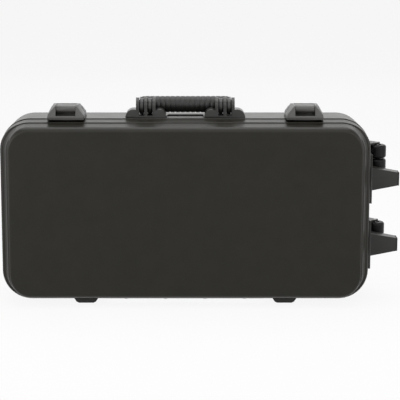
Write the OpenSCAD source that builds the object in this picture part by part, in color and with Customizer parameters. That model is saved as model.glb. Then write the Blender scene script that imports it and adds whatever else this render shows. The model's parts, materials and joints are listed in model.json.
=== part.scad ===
// Pedal case: a moulded two-part case that stands on its long side. The lid is the front
// shell and opens along the bottom edge; the base is the back shell and carries the
// handle, the latches, the wheels and the stand feet.
// X runs along the length, Y from the lid to the base, Z up. The origin lies on the
// floor under the middle of the whole case. The modules are drawn from the plane where
// lid and base meet, and placed() moves them there at the end.

/* [Shells] */
// Length of the case over its rims
case_w = 600; // [560:1:680]
// Height of the case over its rims
case_h = 296.5; // [270:1:340]
// Depth of the base behind the parting plane
base_d = 98; // [86:1:110]
// Depth of the lid in front of the parting plane
lid_d = 52; // [48:1:80]
// Outer radius of the four corners
corner_r = 48; // [42:1:60]
// Wall of both shells
wall = 3.5; // [2.5:0.1:4]
// Gap between the two rims when shut
rim_gap = 1; // [0.8:0.1:1.4]
// Rounding of the rims at the parting line
rim_edge_r = 2; // [1:0.1:2.4]
// Depth of the lid's rim band
rim_d = 22; // [20:1:26]
// How far the rim band stands out from the lid's wall, and its rounding
rim_step = 4.8; // [3:0.1:5.5]
// Rounding between the lid's wall and its face
shoulder_r = 9; // [7:0.5:12]
// Draft of the lid's wall in degrees
shoulder_draft = 8; // [4:1:10]
// Rounding between the base's wall and its back
back_r = 12; // [8:1:16]
// Draft of the base's walls, in degrees
base_draft = 1.2; // [0:0.1:1.6]
// Depth of the tongue that enters the lid
tongue_d = 7; // [5:1:9]
// Wall of the tongue
tongue_t = 2.4; // [1.8:0.1:3]
// Clearance between the tongue and the lid's rim
tongue_gap = 0.8; // [0.6:0.1:1.2]

/* [Seal] */
// Width of the seal cord
seal_w = 1.8; // [1.2:0.1:2.2]
// Depth of the seal's groove in the base
seal_groove = 1.5; // [1:0.1:2]
// Gap from the seal to the lid's rim
seal_gap = 0.3; // [0.3:0.05:0.5]

/* [Linings] */
// Foam behind the pedal board
back_foam = 10; // [6:1:16]
// Foam along the base's walls
side_foam = 8; // [5:1:12]
// Foam in the lid
lid_foam = 18; // [10:1:22]
// Clearance round each lining
lining_gap = 0.3; // [0.2:0.1:0.6]
// Inner corner radius of the base's lining
pocket_r = 22; // [16:1:28]

/* [Pedal board] */
// Clearance round the board
board_gap = 3; // [1:0.5:6]
// Thickness of the board
board_t = 12; // [9:1:15]
// Thickness of the loop pile on the board
pile_t = 2; // [1:0.5:3]
// Length of the cable slots
slot_w = 380; // [300:5:420]
// Height of the cable slots
slot_h = 16; // [10:1:24]
// Distance between the two cable slots
slot_pitch = 84; // [60:1:100]

/* [Hinge] */
// Length of the hinge
hinge_w = 260; // [200:1:280]
// Number of knuckles
knuckles = 13; // [9:2:17]
// Outer radius of the knuckles
knuckle_r = 2.3; // [2.1:0.1:2.4]
// Radius of the hinge rod
hinge_rod_r = 1.3; // [1:0.1:1.4]
// Thickness of the leaves
leaf_t = 1; // [0.8:0.1:1.2]
// Depth of each leaf from the hinge line
leaf_d = 15; // [12:0.5:16]
// Gap between neighbouring knuckles
knuckle_gap = 0.4; // [0.3:0.1:0.8]

/* [Rest feet] */
// Height of the feet under the rims
foot_h = 8; // [7:0.5:12]
// Distance from the middle to each foot
foot_x = 163.5; // [155:1:200]
// Length of a foot where it meets the rim
foot_w = 40; // [30:1:50]
// Length of a foot on the floor
foot_tread = 24; // [18:1:28]
// Depth of the lid's feet
lid_foot_d = 14; // [10:1:15]
// Where the lid's feet begin in front of the parting plane
lid_foot_y = 3.2; // [2.6:0.1:3.4]
// Depth of the base's feet
base_foot_d = 58; // [40:1:60]
// Where the base's feet begin behind the parting plane
base_foot_y = 14; // [13:1:18]

/* [Latches] */
// Distance from the middle to each latch
latch_x = 193; // [175:1:210]
// Length of a latch at its foot
latch_w = 61; // [56:1:66]
// Length of a latch at its top, behind
latch_top_w = 42.5; // [40:0.5:48]
// Length of a latch at its top, in front
latch_front_w = 34.4; // [34:0.2:40]
// Height of a latch over the rims
latch_h = 24.5; // [23:0.5:27]
// Reach of a latch in front of the parting plane
latch_front = 22; // [20:1:24]
// Back of a latch's top behind the parting plane
latch_top_y = 20; // [13:0.5:21]
// Height of the bar under the latch's window
latch_bar = 7; // [5:0.5:8]
// Wall of the latch's cover
cover_t = 3; // [2:0.1:3.5]
// Length of the latch's window and trigger
window_w = 32; // [28:1:32]
// Width between the cheeks of the latch's plate
cheek_in = 48.6; // [46:0.2:50]
// Hinge of the cover: distance behind the parting plane
cover_axis_y = 25; // [24:1:27]
// Hinge of the cover: height over the rims
cover_axis_z = 8; // [8:0.5:9]
// Radius of the cover's rod
cover_rod_r = 2; // [1.5:0.1:2.5]
// Thickness of the latch's plate
plate_t = 0.8; // [0.6:0.1:1]
// Trigger pin: distance behind the parting plane
trigger_y = 4; // [3:0.5:5]
// Trigger pin: height over the rims
trigger_z = 15; // [14:0.5:16]
// Radius of the trigger pin
trigger_pin_r = 1.5; // [1.2:0.1:1.8]
// Radius of the trigger's rolled edge
trigger_roll_r = 7; // [6:0.5:8]
// Radius of the wire of the trigger's spring
spring_wire_r = 0.5; // [0.4:0.05:0.6]
// Thickness of the strike on the lid
strike_t = 1.5; // [1:0.1:2]
// Length of the strike
strike_w = 24; // [20:1:28]
// Depth of the strike
strike_d = 11; // [10:0.5:12]
// Front of the strike before the parting plane
strike_y = 15; // [14:0.5:16]
// Frame left round the strike's slot
strike_rim = 3; // [2:0.5:4]
// Distance of the latch plate's screws from its middle
latch_fix_x = 16; // [12:0.5:20]
// Distance of those screws from the plate's back edge
latch_fix_y = 4.5; // [4:0.1:5]

/* [Handle] */
// Distance from the middle to each handle bracket
bracket_x = 64.4; // [62:1:70]
// Length of a bracket
bracket_w = 66; // [64:1:70]
// Front of the brackets behind the parting plane
bracket_y = 5; // [4:0.5:8]
// Height of a bracket between its ears
bracket_floor = 3.6; // [3:0.1:3.8]
// Height of the round lobes
lobe_h = 13.6; // [13:0.1:17]
// Height of the handle's hinge over the rims
handle_axis_z = 17.4; // [17.2:0.2:20]
// Radius of the ears round the handle's hinge
ear_r = 14.4; // [13:0.2:15]
// Thickness of an ear
ear_t = 5; // [4:0.5:5.5]
// Radius of the lobe at a bracket's inner end
inner_lobe_r = 11; // [9:0.5:13]
// Thickness of a bracket's foot
bracket_foot = 3; // [2.5:0.1:3.4]
// Distance of a bracket's screws from its middle
bracket_fix_x = 22; // [21:0.5:24]
// Length of thread that a screw has in its bracket
thread_l = 8; // [6:0.5:9]
// Distance between neighbouring ears
ear_pitch = 13.4; // [13:0.1:14]
// Radius of the handle's pins
handle_pin_r = 2.5; // [2:0.1:3]
// Length of the handle's arms
handle_arm = 32; // [31:0.5:36]
// Radius of the hubs at the end of the arms
hub_r = 13; // [11:0.1:13]
// Radius of the grip
grip_r = 12.4; // [11:0.2:12.4]
// Radius of the bar through the grip
core_r = 6.5; // [5:0.5:8]
// Length of the grip's sleeve
grip_w = 105; // [100:1:106]
// Distance between the ribs of the grip
rib_pitch = 8.3; // [6:0.1:10]
// Depth of the grooves between the ribs
rib_depth = 0.8; // [0.4:0.1:1.2]
// Width of the grooves between the ribs
groove_w = 1.6; // [1:0.1:2.4]
// How far each prong narrows from the grip to its hub, on each side
prong_taper = 1.6; // [0:0.1:2]

/* [Wheels] */
// Distance of each wheel unit from the middle height
unit_z = 65.5; // [62:0.5:68]
// Height of the middle of the wheel units above mid height
unit_lift = 9; // [0:1:14]
// Distance of the axles behind the parting plane
axle_y = 55; // [50:1:56]
// Distance of the axles out from the rim
axle_x = 19; // [19:0.5:22]
// Radius of the wheels
wheel_r = 15.5; // [14:0.5:15.5]
// Width of a wheel
wheel_w = 22; // [18:0.5:23]
// Radius of a wheel's hub
wheel_hub_r = 9; // [8:0.5:11]
// Rounding of a tyre's shoulders
tyre_round = 4; // [2:0.5:5]
// Rim left round the recess in a hub's face
hub_rim = 1.5; // [1:0.1:2]
// Radius of an axle
axle_r = 2.5; // [2:0.1:3]
// Thickness of the fork's cheeks and back
fork_t = 3; // [2.5:0.1:3]
// Length of the fork's back along the depth
fork_d = 40; // [36:1:44]
// Radius of the fork's tips
fork_tip_r = 5; // [4.5:0.5:6]
// Gap beside each wheel
wheel_gap = 1.2; // [0.6:0.1:1.5]

/* [Stand feet] */
// Distance of each stand foot from the middle height
stand_z = 55; // [50:0.5:58]
// Depth of the middle of the stand feet below mid height
stand_drop = 8; // [0:1:12]
// Front of the stand feet behind the parting plane
stand_y = 4; // [3:0.5:8]
// Reach of the stand feet out from the rim
stand_reach = 51; // [40:1:60]
// Height of a stand foot at its root
stand_root_h = 37; // [30:1:42]
// Height of a stand foot at its tip
stand_tip_h = 22; // [16:1:26]
// Depth of a stand foot at its root
stand_root_d = 27; // [22:1:32]
// Depth of a stand foot at its tip
stand_tip_d = 21; // [16:1:22]
// Height of the plate that carries a stand foot
stand_plate_h = 81; // [74:1:84]
// Thickness of that plate
stand_plate_t = 3.2; // [2.5:0.1:4]
// Standoff of that plate from the rim
standoff = 3.2; // [2:0.1:4]
// Thickness of the pad on the tip
pad_t = 2.5; // [2:0.5:4]

/* [Fits] */
// Radial clearance of a shaft that turns
run_gap = 0.05; // [0.02:0.01:0.09]
// Clearance between parts that pass each other
part_gap = 0.4; // [0.3:0.05:0.5]
// Radius of the screws' heads
head_r = 3; // [2.5:0.1:3.4]
// Height of the screws' heads
head_h = 1.2; // [0.8:0.1:1.6]
// Distance of a stand foot's screws from its plate's ends
stand_fix = 10; // [8:0.5:12]

/* [Hidden] */
$fn = 64;
eps = 0.01;
// Longer than any fitting, for cuts and crops
far = case_h / 2;
shell_grey = [0.2, 0.2, 0.19];
trim_grey = [0.24, 0.24, 0.23];
foam_grey = [0.3, 0.3, 0.32];
steel = [0.6, 0.6, 0.62];
bottom_z = foot_h;
top_z = foot_h + case_h;
mid_z = foot_h + case_h / 2;
end_x = case_w / 2;
inner_r = corner_r - wall;
lid_wall_r = corner_r - rim_step;
ledge_d = tongue_d + 1;
seal_u = inner_r + 0.4;
foam_r = inner_r - lining_gap - base_d * tan(base_draft);
land_t = wall - 0.5;
pocket_u = foam_r - side_foam;
back_foam_d = base_d - wall - lining_gap - back_foam;
board_d = back_foam_d - board_t;
board_u = pocket_u - board_gap;
hinge_z = bottom_z - leaf_t - knuckle_r / 2 + 0.15;
knuckle_pitch = hinge_w / knuckles;
leaf_start = knuckle_r + part_gap;
cover_w = cheek_in - 2 * part_gap;
cover_knuckle_r = cover_axis_z - plate_t - part_gap;
latch_shoulder_y = 4.1;
cover_turn_r = cover_axis_y - latch_shoulder_y;
plate_end = cover_axis_y + cover_knuckle_r + 9;
trigger_w = window_w - 2 * part_gap;
trigger_top = latch_h - 0.3;
spring_room = 13;
handle_axis_y = bracket_y + ear_r;
ear_gap = ear_pitch - ear_t;
prong_w = ear_gap - 2 * part_gap;
grip_y = handle_axis_y + handle_arm;
yoke_start = grip_w / 2 + 0.2;
yoke_end = bracket_x + ear_pitch - ear_t / 2 - 3;
unit_h = 2 * wheel_w + 3 * wheel_gap + 2 * fork_t;
wheel_pitch = wheel_w + wheel_gap;
shank_r = 1.6;
pin_gap = 0.05;

placed() base_shell();
placed() rim_seal();
placed() back_foam_pad();
placed() side_foam_ring();
placed() pedal_board();
placed() loop_pile();
placed() base_hinge_leaf();
placed() hinge_rod();
placed() base_feet();
placed() lid_shell();
placed() lid_foam_pad();
placed() lid_hinge_leaf();
placed() lid_feet();
placed() strike(-1);  // left_strike
placed() strike(1);  // right_strike
placed() latch_plate(-1);  // left_latch_plate
placed() latch_plate(1);  // right_latch_plate
placed() cover_rod(-1);  // left_cover_rod
placed() cover_rod(1);  // right_cover_rod
placed() latch_cover(-1);  // left_latch_cover
placed() latch_cover(1);  // right_latch_cover
placed() trigger(-1);  // left_trigger
placed() trigger(1);  // right_trigger
placed() trigger_pin(-1);  // left_trigger_pin
placed() trigger_pin(1);  // right_trigger_pin
placed() trigger_spring(-1);  // left_trigger_spring
placed() trigger_spring(1);  // right_trigger_spring
placed() handle_bracket(-1);  // left_handle_bracket
placed() handle_bracket(1);  // right_handle_bracket
placed() handle_pin(-1);  // left_handle_pin
placed() handle_pin(1);  // right_handle_pin
placed() handle_frame();
placed() handle_grip();
placed() wheel_fork(1);  // upper_wheel_fork
placed() wheel_fork(-1);  // lower_wheel_fork
placed() axle(1);  // upper_axle
placed() axle(-1);  // lower_axle
placed() wheel_hub(1, 1);  // upper_top_hub
placed() wheel_hub(1, -1);  // upper_low_hub
placed() wheel_hub(-1, 1);  // lower_top_hub
placed() wheel_hub(-1, -1);  // lower_low_hub
placed() tyre(1, 1);  // upper_top_tyre
placed() tyre(1, -1);  // upper_low_tyre
placed() tyre(-1, 1);  // lower_top_tyre
placed() tyre(-1, -1);  // lower_low_tyre
placed() stand_foot(1);  // upper_stand_foot
placed() stand_foot(-1);  // lower_stand_foot
placed() stand_pads();
placed() latch_screws();
placed() handle_screws();
placed() fork_screws();
placed() stand_screws();
placed() hinge_screws(1);  // base_hinge_screws
placed() hinge_screws(-1);  // lid_hinge_screws

// Puts the origin on the floor under the middle of the whole case
module placed() {
  translate([-stand_reach / 2, (lid_d - base_d) / 2, 0]) children();
}

// ---------- outline of the case ----------

// A 2D wall section: the first coordinate runs out from a corner's centre, the second
// away from the parting plane. Its outer edges are rounded.
module edge_section(u, d0, d1, r0, r1) {
  translate([0, d0]) square([u - r0, r0 + eps]);
  translate([0, d0 + r0]) square([u, d1 - d0 - r0 - r1]);
  translate([0, d1 - r1 - eps]) square([u - r1, r1 + eps]);
  if (r0 > 0) translate([u - r0, d0 + r0]) circle(r0);
  if (r1 > 0) intersection() {
    translate([u - r1, d1 - r1]) circle(r1);
    translate([0, d0]) square([u, d1 - d0]);
  }
}

// Carries a wall section round the outline: four straights and four corners
module round_outline() {
  straight_w = case_w - 2 * corner_r;
  straight_h = case_h - 2 * corner_r;
  for (m = [0, 1]) {
    mirror([0, m, 0]) translate([-straight_w / 2, straight_h / 2, 0])
      rotate([90, 0, 90]) linear_extrude(straight_w) children();
    mirror([m, 0, 0]) translate([straight_w / 2, straight_h / 2, 0])
      rotate([90, 0, 0]) linear_extrude(straight_h) children();
    for (n = [0, 1])
      mirror([m, 0, 0]) mirror([0, n, 0]) translate([straight_w / 2, straight_h / 2, 0])
        rotate_extrude(angle = 90) children();
  }
}

// Fills the middle of the outline between two depths
module core(d0, d1) {
  translate([corner_r - end_x, corner_r - case_h / 2, d0])
    cube([case_w - 2 * corner_r, case_h - 2 * corner_r, d1 - d0]);
}

// A solid slab of the outline, out to u from the corners' centres
module slab(u, d0, d1, r1 = 0) {
  round_outline() edge_section(u, d0, d1, 0, r1);
  core(d0, d1);
}

module facing_lid() {
  translate([0, 0, mid_z]) rotate([90, 0, 0]) children();
}

module facing_base() {
  mirror([0, 1, 0]) facing_lid() children();
}

// ---------- shells ----------

module base_shell() {
  color(shell_grey) difference() {
    union() {
      facing_base() {
        difference() {
          union() {
            round_outline() base_section();
            core(rim_gap / 2, base_d);
          }
          round_outline()
            bowl_section(corner_r, rim_gap / 2 + rim_edge_r, base_d, back_r, base_draft, wall, -1);
          core(-1, base_d - wall);
        }
        round_outline() tongue_section();
      }
      lands();
    }
    facing_base() round_outline() seal_section(pin_gap, seal_groove + rim_gap / 2, 0);
    fixing_holes();
  }
}

module base_section() {
  start = rim_gap / 2 + rim_edge_r;
  bowl_section(corner_r, start, base_d, back_r, base_draft, 0, start);
  translate([0, rim_gap / 2]) square([corner_r - rim_edge_r, rim_edge_r + eps]);
  intersection() {
    translate([corner_r - rim_edge_r, start]) circle(rim_edge_r);
    translate([0, rim_gap / 2]) square([corner_r, rim_edge_r]);
  }
}

// Section of a drafted wall that turns into a flat bottom, moved inwards by inset.
// The wall passes through wall_r at the depth from_d, and is drawn from the depth start.
module bowl_section(wall_r, from_d, depth, round_r, draft, inset, start) {
  rise = depth - round_r;
  centre_u = wall_r - (rise - from_d) * tan(draft) - round_r / cos(draft);
  side_u = wall_r - (start - from_d) * tan(draft) - inset / cos(draft);
  r = round_r - inset;
  polygon([
    [0, start], [side_u, start],
    [centre_u + r * cos(draft), rise + r * sin(draft)],
    [centre_u, rise], [centre_u, depth - inset], [0, depth - inset]
  ]);
  translate([centre_u, rise]) circle(r);
}

// Flat lands that carry the fittings on the drafted walls
module lands() {
  for (side = [-1, 1]) {
    at_latch(side) translate([-latch_w / 2, latch_shoulder_y + 1, -land_t])
      cube([latch_w, plate_end - latch_shoulder_y, land_t]);
    at_bracket(side) translate([-bracket_w / 2 - 1, bracket_y, -land_t])
      cube([bracket_w + 2, 2 * ear_r + 1, land_t]);
    translate([side * foot_x - foot_w / 2 - 1, base_foot_y, bottom_z])
      cube([foot_w + 2, base_foot_d + 1, land_t]);
  }
  for (level = [-1, 1]) {
    at_unit(level) translate([-land_t, -fork_d / 2 - 1, -unit_h / 2 - 1])
      cube([land_t, fork_d + 2, unit_h + 2]);
    at_stand(level) translate([-land_t, stand_y, -stand_plate_h / 2])
      cube([land_t, stand_root_d - stand_y, stand_plate_h]);
  }
  translate([-hinge_w / 2 - 1, leaf_start, bottom_z]) cube([hinge_w + 2, leaf_d, land_t]);
}

// The tongue and the ledge that joins it to the wall
module tongue_section() {
  outer_u = inner_r - tongue_gap;
  translate([outer_u - tongue_t, -tongue_d]) square([tongue_t, tongue_d + ledge_d]);
  translate([outer_u - tongue_t, rim_gap / 2])
    square([tongue_t + tongue_gap + wall / 4, ledge_d - rim_gap / 2]);
}

module seal_section(room, deep, front) {
  translate([seal_u - seal_w / 2 - room, front])
    square([seal_w + 2 * room, deep - front]);
}

module rim_seal() {
  color("black") facing_base() round_outline()
    seal_section(0, seal_groove + rim_gap / 2, seal_gap - rim_gap / 2);
}

module lid_shell() {
  color(shell_grey) difference() {
    facing_lid() difference() {
      union() {
        round_outline() {
          edge_section(corner_r, rim_gap / 2, rim_d, rim_edge_r, rim_step);
          lid_bowl(0, rim_d - rim_edge_r);
        }
        core(rim_gap / 2, lid_d);
      }
      round_outline() {
        lid_bowl(wall, -1);
        translate([0, -1]) square([inner_r, rim_d - wall + 1]);
      }
      core(-1, lid_d - wall);
    }
    for (s = [-1, 1]) strike_form(s, pin_gap);
    hinge_fixings(-1) cylinder(h = leaf_t + wall + 0.5, r = shank_r + pin_gap);
  }
}

module lid_bowl(inset, start) {
  bowl_section(lid_wall_r, rim_d, lid_d, shoulder_r, shoulder_draft, inset, start);
}

// ---------- linings and pedal board ----------

module back_foam_pad() {
  color(foam_grey) facing_base()
    slab(foam_r, back_foam_d, back_foam_d + back_foam, back_r - wall);
}

module side_foam_ring() {
  color(foam_grey) facing_base() round_outline()
    translate([pocket_u, ledge_d + lining_gap])
      square([side_foam, back_foam_d - ledge_d - lining_gap]);
}

module lid_foam_pad() {
  start = lid_d - wall - lining_gap - lid_foam;
  foam_u = lid_wall_r - (lid_d - shoulder_r - rim_d) * tan(shoulder_draft)
    - wall - 2 * lining_gap;
  color(foam_grey) facing_lid()
    slab(foam_u, start, start + lid_foam, shoulder_r - wall);
}

module cable_slots() {
  for (s = [-1, 1])
    translate([-slot_w / 2, s * slot_pitch / 2 - slot_h / 2, 0])
      cube([slot_w, slot_h, base_d]);
}

module pedal_board() {
  color("burlywood") facing_base() difference() {
    slab(board_u, board_d, back_foam_d);
    cable_slots();
  }
}

module loop_pile() {
  color("black") facing_base() difference() {
    slab(board_u, board_d - pile_t, board_d);
    cable_slots();
  }
}

// ---------- hinge along the bottom edge ----------

// Knuckles and leaf; side is 1 for the base and -1 for the lid
module hinge_leaf(side) {
  first = side > 0 ? 0 : 1;
  difference() {
    union() {
      translate([-hinge_w / 2, side > 0 ? leaf_start : -leaf_d, bottom_z - leaf_t])
        cube([hinge_w, leaf_d - leaf_start, leaf_t]);
      for (i = [first : 2 : knuckles - 1]) {
        translate([i * knuckle_pitch - hinge_w / 2 + knuckle_gap / 2, 0, hinge_z])
          rotate([0, 90, 0]) cylinder(h = knuckle_pitch - knuckle_gap, r = knuckle_r);
        translate([
          i * knuckle_pitch - hinge_w / 2 + knuckle_gap / 2,
          side > 0 ? 0 : -leaf_start - eps,
          bottom_z - leaf_t
        ])
          cube([knuckle_pitch - knuckle_gap, leaf_start + eps, leaf_t - 0.1]);
      }
    }
    translate([-hinge_w / 2 - 1, 0, hinge_z]) rotate([0, 90, 0])
      cylinder(h = hinge_w + 2, r = hinge_rod_r + run_gap);
    hinge_fixings(side) cylinder(h = leaf_t + 2, r = shank_r + pin_gap);
  }
}

module base_hinge_leaf() {
  color(steel) hinge_leaf(1);
}

module lid_hinge_leaf() {
  color(steel) hinge_leaf(-1);
}

module hinge_rod() {
  color(steel) translate([-hinge_w / 2, 0, hinge_z]) rotate([0, 90, 0])
    cylinder(h = hinge_w, r = hinge_rod_r);
}

// Places for the screws of a leaf, starting below the leaf and pointing up
module hinge_fixings(side) {
  for (i = [-1.5 : 1.5])
    translate([i * hinge_w / 4, side * (leaf_d - 4), bottom_z - leaf_t])
      translate([0, 0, -1]) children();
}

module hinge_screws(side) {
  color(steel) for (i = [-1.5 : 1.5])
    translate([i * hinge_w / 4, side * (leaf_d - 4), bottom_z - leaf_t])
      rotate([180, 0, 0]) screw(leaf_t + wall - 1);
}

// ---------- feet under the long side ----------

module foot_pair(y, depth) {
  for (s = [-1, 1])
    translate([s * foot_x, y + depth, 0]) rotate([90, 0, 0]) linear_extrude(depth)
      polygon([
        [-foot_tread / 2, 0], [foot_tread / 2, 0],
        [(foot_tread + foot_w) / 4, foot_h / 4], [foot_w / 2, foot_h],
        [-foot_w / 2, foot_h], [-(foot_tread + foot_w) / 4, foot_h / 4]
      ]);
}

module base_feet() {
  color(trim_grey) foot_pair(base_foot_y, base_foot_d);
}

module lid_feet() {
  color(trim_grey) foot_pair(-lid_foot_y - lid_foot_d, lid_foot_d);
}

// ---------- latches ----------

module at_latch(side) {
  translate([side * latch_x, 0, top_z]) children();
}

// Symmetric plan outline of a latch, given by half widths at distances behind the plane
module latch_layer(z, h, y0, y1, y2, w0, w1) {
  translate([0, 0, z]) linear_extrude(h)
    polygon([[-w0, y0], [w0, y0], [w1, y1], [w1, y2], [-w1, y2], [-w1, y1]]);
}

// Outer form of a closed latch, drawn in at the top and at the front
module latch_form() {
  back = cover_axis_y + cover_knuckle_r;
  half = latch_w / 2;
  top_half = latch_top_w / 2;
  front_half = latch_front_w / 2;
  hull() {
    latch_layer(part_gap, 4, -latch_front, -8, back, half - 1.3, half);
    latch_layer(9, eps, -latch_front + 1.5, -8, back, half - 2, half - 0.7);
    latch_layer(latch_h - 2, eps, -latch_front + 6.5, 10, latch_top_y, front_half + 0.9,
      top_half + 0.9);
    latch_layer(latch_h - eps, eps, -latch_front + 10, 8, latch_top_y - 3, front_half, top_half);
  }
}

// A disc or hole along X round the cover's hinge
module round_cover_axis(r, w) {
  translate([-w / 2, cover_axis_y, cover_axis_z]) rotate([0, 90, 0]) cylinder(h = w, r = r);
}

module latch_cover(side) {
  color(trim_grey) at_latch(side) difference() {
    union() {
      difference() {
        latch_form();
        for (s = [-1, 1])
          translate([s > 0 ? cover_w / 2 : -cover_w / 2 - latch_w / 2, 0, 0]) {
            translate([0, cover_axis_y, cover_axis_z]) rotate([0, 90, 0])
              cylinder(h = latch_w / 2, r = cover_turn_r);
            translate([0, cover_axis_y, -1]) cube([latch_w / 2, far, latch_h + 2]);
            translate([0, latch_shoulder_y, -1]) cube([latch_w / 2, far, cover_axis_z + 1]);
          }
        translate([-cover_w / 2 - 1, cover_axis_y - 1, -1]) cube([cover_w + 2, far, latch_h + 2]);
      }
      round_cover_axis(cover_knuckle_r, cover_w);
    }
    translate([-latch_w, latch_shoulder_y - 2, -1])
      cube([2 * latch_w, far, 1 + plate_t + part_gap]);
    translate([-window_w / 2, -latch_front - 1, latch_bar])
      cube([window_w, latch_front + 13, latch_h]);
    translate([-window_w / 2, -latch_front + cover_t, -1])
      cube([window_w, latch_front - cover_t + 14, latch_bar + 2]);
    round_cover_axis(cover_rod_r + run_gap, latch_w);
    trigger_axis(trigger_pin_r + pin_gap, window_w + 8);
  }
}

module trigger_axis(r, w) {
  translate([-w / 2, trigger_y, trigger_z]) rotate([0, 90, 0]) cylinder(h = w, r = r);
}

// Plate on the base with a cheek on each side of the cover
module latch_plate(side) {
  color(trim_grey) at_latch(side) difference() {
    union() {
      intersection() {
        translate([0, 0, -part_gap]) union() {
          latch_form();
          latch_layer(0, 5, latch_shoulder_y, 8, cover_axis_y + cover_knuckle_r,
            latch_w / 2, latch_w / 2);
        }
        for (s = [-1, 1])
          translate([s > 0 ? cheek_in / 2 : -cheek_in / 2 - latch_w / 2, 0, 0]) intersection() {
            translate([0, cover_axis_y, cover_axis_z]) rotate([0, 90, 0])
              cylinder(h = latch_w / 2, r = cover_turn_r - part_gap);
            cube([latch_w / 2, far, latch_h]);
          }
      }
      translate([-latch_w / 2, latch_shoulder_y + 2, 0])
        cube([latch_w, plate_end - latch_shoulder_y - 2, plate_t]);
    }
    round_cover_axis(cover_rod_r + run_gap, latch_w + 2);
    latch_fixings() translate([0, 0, -1]) cylinder(h = 4, r = shank_r + pin_gap);
  }
}

module cover_rod(side) {
  color(steel) at_latch(side) round_cover_axis(cover_rod_r, cheek_in + 8);
}

module trigger(side) {
  roll_y = -latch_front + 6.5 + trigger_roll_r;
  roll_z = trigger_top - trigger_roll_r;
  color(trim_grey) at_latch(side) difference() {
    union() {
      along_x(roll_y, roll_z, trigger_roll_r, -trigger_w / 2, trigger_w / 2);
      translate([-trigger_w / 2, 0, 0]) rotate([90, 0, 90]) linear_extrude(trigger_w)
        polygon([
          [roll_y - 3, roll_z - 4], [roll_y, trigger_top - 0.2], [8.5, trigger_top - 0.2],
          [10.5, trigger_z + 4], [trigger_y + 4.2, trigger_z - 3], [trigger_y - 3, trigger_z - 4.5]
        ]);
      translate([-trigger_w / 2, roll_y + 0.5, 1]) cube([trigger_w, 2.5, roll_z]);
    }
    trigger_axis(trigger_pin_r + run_gap, trigger_w + 2);
    trigger_axis(5, spring_room);
  }
}

module trigger_pin(side) {
  color(steel) at_latch(side) trigger_axis(trigger_pin_r, window_w + 7);
}

// The coils of the trigger's return spring, as a plain sleeve round its pin
module trigger_spring(side) {
  inner = trigger_pin_r + 0.3;
  color(steel) at_latch(side) difference() {
    trigger_axis(inner + 2 * spring_wire_r, spring_room - 1);
    trigger_axis(inner, spring_room);
  }
}

// Flush plate in the lid's rim under the trigger's nose
module strike_form(side, room) {
  at_latch(side) translate([-strike_w / 2 - room, -strike_y - room, -strike_t - room])
    cube([strike_w + 2 * room, strike_d + 2 * room, strike_t + 2 * room]);
}

module strike(side) {
  color(steel) difference() {
    strike_form(side, 0);
    at_latch(side)
      translate([strike_rim - strike_w / 2, strike_rim - strike_y, -2 * strike_t])
        cube([strike_w - 2 * strike_rim, strike_d - 2 * strike_rim, 3 * strike_t]);
  }
}

module latch_fixings() {
  for (s = [-1, 1]) translate([s * latch_fix_x, plate_end - latch_fix_y, 0]) children();
}

module latch_screws() {
  color(steel) for (side = [-1, 1])
    at_latch(side) latch_fixings() translate([0, 0, plate_t]) screw(plate_t + wall - 1);
}

// ---------- carry handle ----------

// The right bracket's place; the left one is its mirror image
module at_bracket(side) {
  mirror([side > 0 ? 0 : 1, 0, 0]) translate([bracket_x, 0, top_z]) children();
}

module along_x(y, z, r, x0, x1) {
  translate([x0, y, z]) rotate([0, 90, 0]) cylinder(h = x1 - x0, r = r);
}

module handle_bracket(side) {
  half = bracket_w / 2;
  depth = 2 * ear_r;
  outer_lobe_r = lobe_h - 1;
  color(trim_grey) at_bracket(side) difference() {
    union() {
      translate([0, bracket_y + depth, 0]) rotate([90, 0, 0]) linear_extrude(depth) {
        translate([-half, 0]) square([bracket_w, bracket_foot]);
        translate([-ear_pitch, 0]) square([2 * ear_pitch, bracket_floor]);
        intersection() {
          translate([half - outer_lobe_r, 1]) circle(outer_lobe_r);
          translate([ear_pitch, 0]) square([half, lobe_h]);
        }
        translate([ear_pitch, 0]) square([half - outer_lobe_r - ear_pitch, lobe_h]);
        intersection() {
          translate([inner_lobe_r - half, lobe_h - inner_lobe_r]) circle(inner_lobe_r);
          translate([-half, 0]) square([half - ear_pitch, lobe_h]);
        }
      }
      for (i = [-1 : 1]) {
        along_x(handle_axis_y, handle_axis_z, ear_r, i * ear_pitch - ear_t / 2,
          i * ear_pitch + ear_t / 2);
        translate([i * ear_pitch - ear_t / 2, bracket_y, 0])
          cube([ear_t, depth, handle_axis_z]);
      }
    }
    along_x(handle_axis_y, handle_axis_z, handle_pin_r + run_gap, -bracket_w, bracket_w);
    handle_fixings() translate([0, 0, -1]) cylinder(h = thread_l + 2, r = shank_r + pin_gap);
  }
}

module handle_fixings() {
  for (s = [-1, 1]) translate([s * bracket_fix_x, handle_axis_y, 0]) children();
}

module handle_pin(side) {
  color(steel) at_bracket(side)
    along_x(handle_axis_y, handle_axis_z, handle_pin_r, -ear_pitch - ear_t / 2,
      ear_pitch + ear_t / 2);
}

// A prong of the handle between two ears: wide at the grip, narrow at its hub
module prong() {
  intersection() {
    translate([-prong_w / 2, 0, 0]) rotate([90, 0, 90]) linear_extrude(prong_w) {
      translate([handle_axis_y, handle_axis_z]) circle(hub_r);
      translate([handle_axis_y, handle_axis_z - hub_r + 1.4])
        square([handle_arm, 2 * hub_r - 2.8]);
    }
    linear_extrude(far) polygon([
      [prong_taper - prong_w / 2, handle_axis_y - hub_r],
      [prong_w / 2 - prong_taper, handle_axis_y - hub_r],
      [prong_w / 2, handle_axis_y + hub_r], [prong_w / 2, grip_y],
      [-prong_w / 2, grip_y], [-prong_w / 2, handle_axis_y + hub_r]
    ]);
  }
}

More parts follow.
